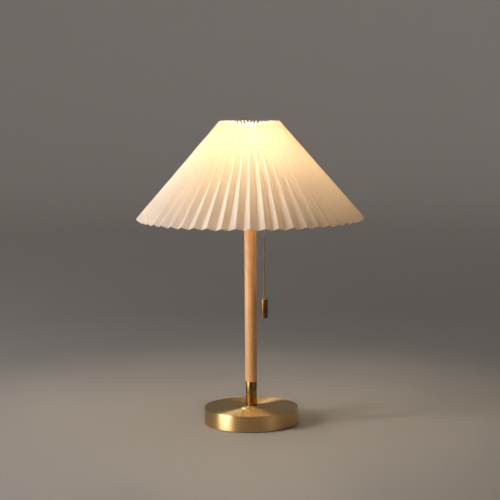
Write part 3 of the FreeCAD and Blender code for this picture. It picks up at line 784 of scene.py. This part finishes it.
def turn_on_lathe(name, outline, roundings=(), steps=128, centre=Vector((0, 0, 0))):
    """Draw an outline of (r, z) points as a chain of edges, round some of its corners and spin it.

    roundings holds (point number, radius, segments) for each corner to round.
    """
    nothing_selected()
    bpy.ops.mesh.primitive_plane_add(size=MM)
    piece = new_piece(name)
    edit(piece)
    bpy.ops.mesh.select_all(action="SELECT")
    bpy.ops.mesh.merge(type="CENTER")
    at = Vector((0, 0, 0))
    for number, (r, z) in enumerate(outline):
        step = Vector((r, 0, z)) - at
        if number == 0:
            bpy.ops.transform.translate(value=step)
        else:
            bpy.ops.mesh.extrude_vertices_move(TRANSFORM_OT_translate={"value": step})
        at += step
    for number, size, segments in roundings:
        corner = Vector((outline[number][0], 0, outline[number][1]))
        pick(piece, "verts", lambda v: (v.co - corner).length < 0.005 * MM)
        bpy.ops.mesh.bevel(offset=size, segments=segments, affect="VERTICES", profile=0.5)
    bpy.ops.mesh.select_all(action="SELECT")
    bpy.ops.mesh.spin(steps=steps, angle=math.tau, center=(0, 0, 0), axis=(0, 0, 1))
    bpy.ops.mesh.select_all(action="SELECT")
    if centre.length:
        bpy.ops.transform.translate(value=centre)
    nothing_selected()
    close_up(piece)
    return piece


def smooth(piece, angle=32):
    nothing_selected()
    piece.select_set(True)
    bpy.context.view_layer.objects.active = piece
    bpy.ops.object.shade_smooth_by_angle(angle=math.radians(angle))


def stand_for(piece, node, *more):
    """Finish a new piece like the node that it stands for, and let it ride on the same body."""
    piece.data.materials.clear()
    piece.data.materials.append(finish_for(node))
    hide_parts(node, *more)
    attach(piece, BODY_OF[node])


def copies_round(count):
    """In edit mode, copy all that is selected round Z to make an even ring of that many."""
    angle = math.tau * (count - 1) / count
    bpy.ops.mesh.spin(steps=count - 1, dupli=True, angle=angle, center=(0, 0, 0), axis=(0, 0, 1))


# ---- base ---------------------------------------------------------------------------------


class LAMP_OT_weighted_base(bpy.types.Operator):
    """Spin the brass cover, its collar and the pad that the lamp stands on"""

    bl_idname = "lamp.weighted_base"
    bl_label = "Weighted Base"

    wall = 1.2 * MM
    top_edge = 0.9 * MM
    rim_edge = 0.25 * MM
    inlet_r = 4.5 * MM
    inlet_reach = 12 * MM

    def cover(self):
        r, z0, z1 = radius("base_cover"), low("base_cover"), high("base_cover")
        hole = PIPE_HOLE_R
        piece = turn_on_lathe(
            "base_cover_spun",
            [(hole, z1), (r, z1), (r, z0), (r - self.wall, z0), (r - self.wall, z1 - self.wall),
             (hole, z1 - self.wall), (hole, z1)],
            [(1, self.top_edge, 6), (2, self.rim_edge, 2), (3, self.rim_edge, 2)], steps=192)
        self.inlet_hole(piece)
        smooth(piece)
        stand_for(piece, "base_cover")

    def inlet_hole(self, piece):
        least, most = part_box("cord_bushing")
        nothing_selected()
        bpy.ops.mesh.primitive_cylinder_add(
            vertices=64, radius=self.inlet_r, depth=self.inlet_reach,
            location=(0, radius("base_cover"), (least.z + most.z) / 2), rotation=(math.pi / 2, 0, 0))
        drill = new_piece("inlet_drill")
        apply_modifier(piece, "BOOLEAN", object=drill, operation="DIFFERENCE", solver="EXACT")
        bpy.data.objects.remove(drill)

    def pad(self):
        r, z1 = radius("base_pad"), high("base_pad")
        piece = turn_on_lathe(
            "base_pad_foam", [(0, 0), (r, 0), (r, z1), (0, z1)],
            [(1, 0.5 * MM, 3), (2, 0.2 * MM, 2)], steps=128)
        smooth(piece)
        stand_for(piece, "base_pad")

    def collar(self):
        r, z0, z1 = radius("base_rosette"), low("base_rosette"), high("base_rosette")
        hole = PIPE_HOLE_R
        step = 0.35 * MM
        piece = turn_on_lathe(
            "base_collar_turned",
            [(hole, z0), (r, z0), (r, z1 - step), (r - 3.2 * step, z1), (hole, z1), (hole, z0)],
            [(2, 0.25 * MM, 3), (3, 0.5 * MM, 4)], steps=128)
        smooth(piece)
        stand_for(piece, "base_rosette")

    def execute(self, context):
        self.cover()
        self.pad()
        self.collar()
        return {"FINISHED"}


# ---- column -------------------------------------------------------------------------------


class LAMP_OT_column(bpy.types.Operator):
    """Turn the brass ferrule, the wooden stem and the cap on top of it"""

    bl_idname = "lamp.column"
    bl_label = "Column"

    def sleeve(self, name, node, ease, segments):
        """A tube with eased edges, as wide and as long as its node."""
        r, z0, z1 = radius(node), low(node), high(node)
        hole = PIPE_HOLE_R
        piece = turn_on_lathe(
            name, [(hole, z0), (r, z0), (r, z1), (hole, z1), (hole, z0)],
            [(1, ease, segments), (2, ease, segments)], steps=96)
        smooth(piece)
        stand_for(piece, node)

    def execute(self, context):
        self.sleeve("ferrule_turned", "ferrule", 0.3 * MM, 2)
        self.sleeve("stem_turned", "stem", 0.6 * MM, 4)
        self.sleeve("stem_cap_turned", "stem_cap", 0.5 * MM, 4)
        return {"FINISHED"}


# ---- pull chain ---------------------------------------------------------------------------


class LAMP_OT_pull(bpy.types.Operator):
    """String the ball chain and turn the weight on its end"""

    bl_idname = "lamp.pull"
    bl_label = "Ball Chain and Weight"

    beads = 32

    def chain(self):
        """One hollow bead with its link, copied down the chain."""
        centre = middle("pull_chain")
        bead = radius("pull_chain")
        top = high("pull_chain") - bead
        pitch = (high("pull_chain") - low("pull_chain") - 2 * bead) / (self.beads - 1)
        mouth, link_r = 0.62 * MM, 0.36 * MM
        mouth_z = math.sqrt(bead**2 - mouth**2)
        nothing_selected()
        bpy.ops.mesh.primitive_uv_sphere_add(
            segments=20, ring_count=12, radius=bead, location=centre + Vector((0, 0, top)))
        piece = new_piece("pull_chain_beads")
        edit(piece)
        pick(piece, "verts", lambda v: abs(v.co.z - top) > mouth_z)
        bpy.ops.mesh.delete(type="VERT")
        nothing_selected()
        bpy.ops.mesh.primitive_cylinder_add(
            vertices=10, radius=link_r, depth=pitch,
            location=centre + Vector((0, 0, top - pitch / 2)))
        link = new_piece("bead_link")
        bpy.ops.object.select_all(action="DESELECT")
        link.select_set(True)
        piece.select_set(True)
        bpy.context.view_layer.objects.active = piece
        bpy.ops.object.join()
        self.close_mouths(piece, top)
        apply_modifier(
            piece, "ARRAY", count=self.beads, use_relative_offset=False,
            use_constant_offset=True, constant_offset_displace=(0, 0, -pitch))
        edit(piece)
        end = top - (self.beads - 1) * pitch
        pick(piece, "verts", lambda v: v.co.z < end - bead * 1.05)
        bpy.ops.transform.translate(value=(0, 0, pitch - bead * 0.9))
        nothing_selected()
        close_up(piece)
        smooth(piece, 50)
        stand_for(piece, "pull_chain")

    def close_mouths(self, piece, top):
        """Turn the bead's two open ends inwards to meet its link."""
        edit(piece, "EDGE")
        pick(piece, "edges", lambda e: e.is_boundary)
        bpy.ops.mesh.extrude_region_move()
        bpy.ops.transform.resize(value=(0.55, 0.55, 1), center_override=(*middle("pull_chain")[:2], top))
        nothing_selected()

    def weight(self):
        """The turned weight: a plain barrel with a bright chamfer and an open socket below."""
        r, z0, z1 = radius("pull_knob"), low("pull_knob"), high("pull_knob")
        centre = middle("pull_knob")
        hole, socket, depth = 0.75 * MM, 2.6 * MM, 6 * MM
        piece = turn_on_lathe(
            "pull_weight_turned",
            [(hole, z1), (r - 0.55 * MM, z1), (r, z1 - 0.55 * MM), (r, z0), (socket, z0),
             (socket, z0 + depth), (hole, z0 + depth + 2 * MM), (hole, z1)],
            [(1, 0.12 * MM, 2), (2, 0.12 * MM, 2), (3, 0.6 * MM, 5), (4, 0.3 * MM, 3)],
            steps=72, centre=centre)
        smooth(piece)
        stand_for(piece, "pull_knob")

    def execute(self, context):
        self.chain()
        self.weight()
        return {"FINISHED"}


# ---- bulb ---------------------------------------------------------------------------------


class LAMP_OT_bulb(bpy.types.Operator):
    """Blow the opal globe of the bulb"""

    bl_idname = "lamp.bulb"
    bl_label = "Bulb"

    def execute(self, context):
        r, z0, z1 = radius("bulb_glass"), low("bulb_glass"), high("bulb_glass")
        neck, fillet = 12 * MM, 9 * MM
        centre_z = z1 - r
        blend_z = centre_z - math.sqrt((r + fillet)**2 - (neck + fillet)**2)
        outline = [(neck, z0), (neck, blend_z)]
        touch_angle = math.asin((neck + fillet) / (r + fillet))
        for k in range(1, 9):
            turn = (math.pi / 2 - touch_angle) * k / 8
            outline.append((neck + fillet - fillet * math.cos(turn), blend_z + fillet * math.sin(turn)))
        for k in range(1, 29):
            turn = touch_angle + (math.pi - touch_angle) * k / 28
            outline.append((r * math.sin(turn), centre_z - r * math.cos(turn)))
        outline[-1] = (0, z1)
        piece = turn_on_lathe("bulb_globe", outline, steps=64)
        apply_modifier(piece, "SOLIDIFY", thickness=0.8 * MM, offset=-1)
        smooth(piece, 60)
        stand_for(piece, "bulb_glass")
        return {"FINISHED"}


# ---- shade --------------------------------------------------------------------------------


class LAMP_OT_pleated_shade(bpy.types.Operator):
    """Fold the cloth into its cone and tie it to the rings"""

    bl_idname = "lamp.pleated_shade"
    bl_label = "Pleated Shade"

    def measure(self, sizes):
        """Work out where the folds end. A valley's end lies along the cone's normal from the ridges."""
        self.count = sizes.pleats
        self.pitch = math.pi / self.count
        self.bottom_r = radius("shade_fabric")
        self.top_z = high("shade_fabric")
        self.top_r = CROWN_R
        self.bottom_z = HEM_Z
        run = self.bottom_r - self.top_r
        drop = self.top_z - self.bottom_z
        self.slant = math.hypot(run, drop)
        self.inward = drop / self.slant
        self.downward = run / self.slant

    def depth(self, r, sizes):
        """Depth of the pleats where the ridges lie at that radius."""
        return math.sqrt(sizes.panel_width**2 - (r * math.sin(self.pitch))**2)

    def fold_number(self, point):
        """Which fold a point is nearest to, counted round from the front; even folds are ridges."""
        return math.atan2(point.x, -point.y) / self.pitch

    def on_fold(self, vert, ridges):
        number = self.fold_number(vert.co)
        nearest = round(number)
        return abs(number - nearest) < 0.3 and (nearest % 2 == 0) == ridges

    def cone(self):
        nothing_selected()
        bpy.ops.mesh.primitive_cone_add(
            vertices=2 * self.count, radius1=self.bottom_r, radius2=self.top_r,
            depth=self.top_z - self.bottom_z, end_fill_type="NOTHING",
            location=(0, 0, (self.top_z + self.bottom_z) / 2))
        return new_piece("shade_pleated_cloth")

    def map_cloth(self, piece, sizes):
        """Lay the flat cloth out in metres: across the panels and down the folds."""
        for layer in list(piece.data.uv_layers):
            piece.data.uv_layers.remove(layer)
        layer = piece.data.uv_layers.new(name="cloth")
        for face in piece.data.polygons:
            here = self.fold_number(face.center)
            for corner in face.loop_indices:
                point = piece.data.vertices[piece.data.loops[corner].vertex_index].co
                number = self.fold_number(point)
                number += 2 * self.count * round((here - number) / (2 * self.count))
                down = 0 if point.z > (self.top_z + self.bottom_z) / 2 else self.slant
                layer.data[corner].uv = (number * sizes.panel_width, down)

    def fold_valleys(self, piece, sizes):
        edit(piece)
        for r, z in ((self.bottom_r, self.bottom_z), (self.top_r, self.top_z)):
            depth = self.depth(r, sizes)
            share = 1 - self.inward * depth / r
            pick(piece, "verts", lambda v: abs(v.co.z - z) < MM and self.on_fold(v, ridges=False))
            bpy.ops.transform.resize(value=(share, share, 1), center_override=(0, 0, z))
            bpy.ops.transform.translate(value=(0, 0, -self.downward * depth))

    def stray_folds(self, piece, sizes):
        """Let each fold stray a little, more at the loose hem than at the gathered top."""
        chance = random.Random(7)
        middle_z = (self.top_z + self.bottom_z) / 2
        for number in range(2 * self.count):
            for above in (True, False):
                pick(piece, "verts", lambda v: (v.co.z > middle_z) == above and
                     round(self.fold_number(v.co)) % (2 * self.count) == number)
                angle = chance.uniform(-1, 1) * sizes.unevenness * (0.8 if above else 1.0)
                bpy.ops.transform.rotate(value=angle, orient_axis="Z", center_override=(0, 0, 0))
                rise = chance.uniform(-1, 1) * 0.35 * MM
                bpy.ops.transform.translate(value=(0, 0, rise))

    def crease(self, piece, sizes):
        """Cut the panels along and across, and round the folds: outer ones crisp, inner ones soft."""
        bpy.ops.mesh.select_mode(type="EDGE")
        pick(piece, "edges", lambda e: e.calc_length() > 0.5 * self.slant)
        bpy.ops.mesh.subdivide(number_cuts=26)
        for ridges, width, segments in ((True, sizes.outer_fold, 2), (False, sizes.inner_fold, 3)):
            pick(piece, "edges", lambda e: all(self.on_fold(v, ridges) for v in e.verts)
                 and abs(e.verts[0].co.z - e.verts[1].co.z) > MM)
            bpy.ops.mesh.bevel(offset=width, segments=segments, profile=0.5, affect="EDGES")
        pick(piece, "edges", lambda e: e.calc_length() > 0.75 * sizes.panel_width
             and abs(abs(self.fold_number(e.verts[0].co) - self.fold_number(e.verts[1].co)) % 2 - 1) < 0.6)
        bpy.ops.mesh.subdivide(number_cuts=3)
        nothing_selected()

    def wave(self, piece, sizes):
        """Slow waves in the panels, and the cloth's thickness."""
        waves = bpy.data.textures.new("cloth_waves", "CLOUDS")
        waves.noise_scale = 0.035
        apply_modifier(
            piece, "DISPLACE", texture=waves, texture_coords="LOCAL", direction="NORMAL",
            strength=sizes.waviness, mid_level=0.5)
        bpy.data.textures.remove(waves)
        apply_modifier(piece, "SOLIDIFY", thickness=sizes.cloth_thickness, offset=-1)

    def stitches(self):
        """A loop of thread at each inner fold, round the top ring and round the middle ring."""
        made = []
        for ring in ("top_ring", "middle_ring"):
            least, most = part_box(ring)
            wire = (most.z - least.z) / 2
            reach = radius(ring) - wire
            height = (least.z + most.z) / 2
            nothing_selected()
            bpy.ops.mesh.primitive_torus_add(
                major_segments=14, minor_segments=5, major_radius=wire + 0.35 * MM,
                minor_radius=0.2 * MM, location=(0, -reach, height), rotation=(0, math.pi / 2, 0))
            piece = new_piece(ring + "_ties")
            edit(piece)
            bpy.ops.mesh.select_all(action="SELECT")
            bpy.ops.transform.rotate(value=self.pitch, orient_axis="Z", center_override=(0, 0, 0))
            copies_round(self.count)
            nothing_selected()
            smooth(piece, 70)
            piece.data.materials.clear()
            piece.data.materials.append(bpy.data.materials.get("cotton_thread") or cotton_thread())
            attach(piece, "shade")
            made.append(piece)
        return made

    def execute(self, context):
        sizes = context.scene.lamp_shade
        self.measure(sizes)
        piece = self.cone()
        self.map_cloth(piece, sizes)
        self.fold_valleys(piece, sizes)
        self.stray_folds(piece, sizes)
        self.crease(piece, sizes)
        self.wave(piece, sizes)
        smooth(piece, 24)
        stand_for(piece, "shade_fabric")
        self.stitches()
        return {"FINISHED"}


# ---- the frame's own parts ----------------------------------------------------------------


class LAMP_OT_fitted_parts(bpy.types.Operator):
    """Finish the lampholder, switch, wires and fixings that stay as they are in the frame"""

    bl_idname = "lamp.fitted_parts"
    bl_label = "Fitted Parts"

    def execute(self, context):
        for name, node in frame["nodes"].items():
            if node.hide_render:
                continue
            node.data.materials.clear()
            node.data.materials.append(finish_for(name))
        return {"FINISHED"}


# ---- stage --------------------------------------------------------------------------------


class LAMP_OT_stage(bpy.types.Operator):
    """Lay the pale floor, hang the soft lights and set up the camera"""

    bl_idname = "lamp.stage"
    bl_label = "Stage"

    def floor(self, stage):
        """A round floor whose rim curves up into a wall, so that no edge shows behind the lamp."""
        reach, curve, wall = stage.floor_radius, 1.2, 3.0
        nothing_selected()
        bpy.ops.mesh.primitive_circle_add(vertices=96, radius=reach, fill_type="NGON")
        piece = new_piece("floor")
        edit(piece, "EDGE")
        pick(piece, "edges", lambda e: e.is_boundary)
        at = Vector((reach, 0, 0))
        steps = 10
        for number in range(1, steps + 2):
            turn = math.radians(90 * min(number, steps) / steps)
            to = Vector((reach + curve * math.sin(turn), 0, curve * (1 - math.cos(turn))))
            if number > steps:
                to.z += wall
            bpy.ops.mesh.extrude_region_move(TRANSFORM_OT_translate={"value": (0, 0, to.z - at.z)})
            share = to.x / at.x
            bpy.ops.transform.resize(value=(share, share, 1), center_override=(0, 0, 0))
            at = to
        bpy.ops.mesh.select_all(action="SELECT")
        bpy.ops.mesh.normals_make_consistent(inside=True)
        nothing_selected()
        smooth(piece, 40)
        material, tree, shader, place = start_finish("pale_floor")
        cloud = noise(tree, place, 3.0, 3.0)
        reach = add(tree, "VectorMath", {0: place}, operation="LENGTH").outputs["Value"]
        # Painted light: the colour turns paler with distance from the floor colour to the much paler wall
        # colour, standing in for light on the backdrop.
        wall = spread(tree, reach, 1.0, stage.floor_radius, 0.0, 1.0)
        tone = mix_colours(tree, wall, four(stage.floor), four(stage.wall))
        feed(tree, shader,
             Base_Color=mix_colours(tree, spread(tree, cloud, 0.3, 0.7, 0.0, 0.06), tone, four(stage.wall)),
             Roughness=spread(tree, cloud, 0.3, 0.7, 0.55, 0.65))
        shader.inputs["Specular IOR Level"].default_value = 0.3
        piece.data.materials.append(material)

    def soft_light(self, name, azimuth, distance, height, size, power, colour):
        """A rectangular soft light at an azimuth from the front, towards +X, that faces the lamp."""
        at = Vector((math.sin(azimuth) * distance, -math.cos(azimuth) * distance, height))
        aim = Vector((0, 0, 0.2))
        nothing_selected()
        bpy.ops.object.light_add(type="AREA", location=at)
        light = bpy.context.object
        light.name = name
        light.rotation_euler = (aim - at).to_track_quat("-Z", "Y").to_euler()
        light.data.shape = "RECTANGLE"
        light.data.size, light.data.size_y = size
        light.data.energy = power
        light.data.color = colour
        light.visible_camera = False

    def room(self, stage):
        world = bpy.data.worlds.new("room")
        world.use_nodes = True
        background = world.node_tree.nodes["Background"]
        background.inputs["Color"].default_value = (1.0, 0.93, 0.85, 1)
        background.inputs["Strength"].default_value = stage.sky
        bpy.context.scene.world = world

    def camera(self, stage):
        at = (-0.5 * MM, -stage.camera_distance, stage.camera_height)
        nothing_selected()
        bpy.ops.object.camera_add(location=at)
        camera = bpy.context.object
        camera.name = "camera"
        aim = Matrix.Rotation(math.pi / 2 - stage.camera_tilt, 3, "X")
        lean = Matrix.Rotation(-stage.camera_roll, 3, "Z")
        camera.rotation_euler = (aim @ lean).to_euler()
        camera.data.sensor_width = 36
        camera.data.lens = stage.camera_lens
        camera.data.clip_start = 0.05
        camera.data.clip_end = 50
        bpy.context.scene.camera = camera
        bpy.context.scene.view_settings.view_transform = "Standard"

    def execute(self, context):
        stage = context.scene.lamp_stage
        self.floor(stage)
        self.soft_light(
            "key_light", azimuth=math.radians(-68), distance=2.0, height=0.75,
            size=(1.1, 1.3), power=stage.key_power, colour=(1, 0.97, 0.96))
        self.soft_light(
            "fill_light", azimuth=math.radians(48), distance=2.1, height=0.7,
            size=(0.5, 1.4), power=stage.fill_power, colour=(1, 0.95, 0.9))
        self.room(stage)
        self.camera(stage)
        return {"FINISHED"}


# ---- panel and registration ---------------------------------------------------------------

OPERATORS = (
    LAMP_OT_stage,
    LAMP_OT_weighted_base,
    LAMP_OT_column,
    LAMP_OT_pull,
    LAMP_OT_bulb,
    LAMP_OT_pleated_shade,
    LAMP_OT_fitted_parts,
)
SETTINGS = {
    "lamp_shade": ShadeSettings,
    "lamp_metal": MetalSettings,
    "lamp_wood": WoodSettings,
    "lamp_bulb": BulbSettings,
    "lamp_stage": StageSettings,
}


class LAMP_PT_build(bpy.types.Panel):
    """The lamp's settings and the operators that build it"""

    bl_label = "Pleated Shade Lamp"
    bl_idname = "LAMP_PT_build"
    bl_space_type = "VIEW_3D"
    bl_region_type = "UI"
    bl_category = "Lamp"

    def draw(self, context):
        for key, group in SETTINGS.items():
            box = self.layout.box()
            for name in group.__annotations__:
                box.prop(getattr(context.scene, key), name)
        for operator in OPERATORS:
            self.layout.operator(operator.bl_idname)


def register():
    for key, group in SETTINGS.items():
        bpy.utils.register_class(group)
        setattr(bpy.types.Scene, key, PointerProperty(type=group))
    for operator in OPERATORS:
        bpy.utils.register_class(operator)
    bpy.utils.register_class(LAMP_PT_build)


def unregister():
    bpy.utils.unregister_class(LAMP_PT_build)
    for operator in reversed(OPERATORS):
        bpy.utils.unregister_class(operator)
    for key, group in reversed(SETTINGS.items()):
        delattr(bpy.types.Scene, key)
        bpy.utils.unregister_class(group)


def main():
    register()
    for operator in OPERATORS:
        family, name = operator.bl_idname.split(".")
        getattr(getattr(bpy.ops, family), name)()


if __name__ == "__main__":
    main()
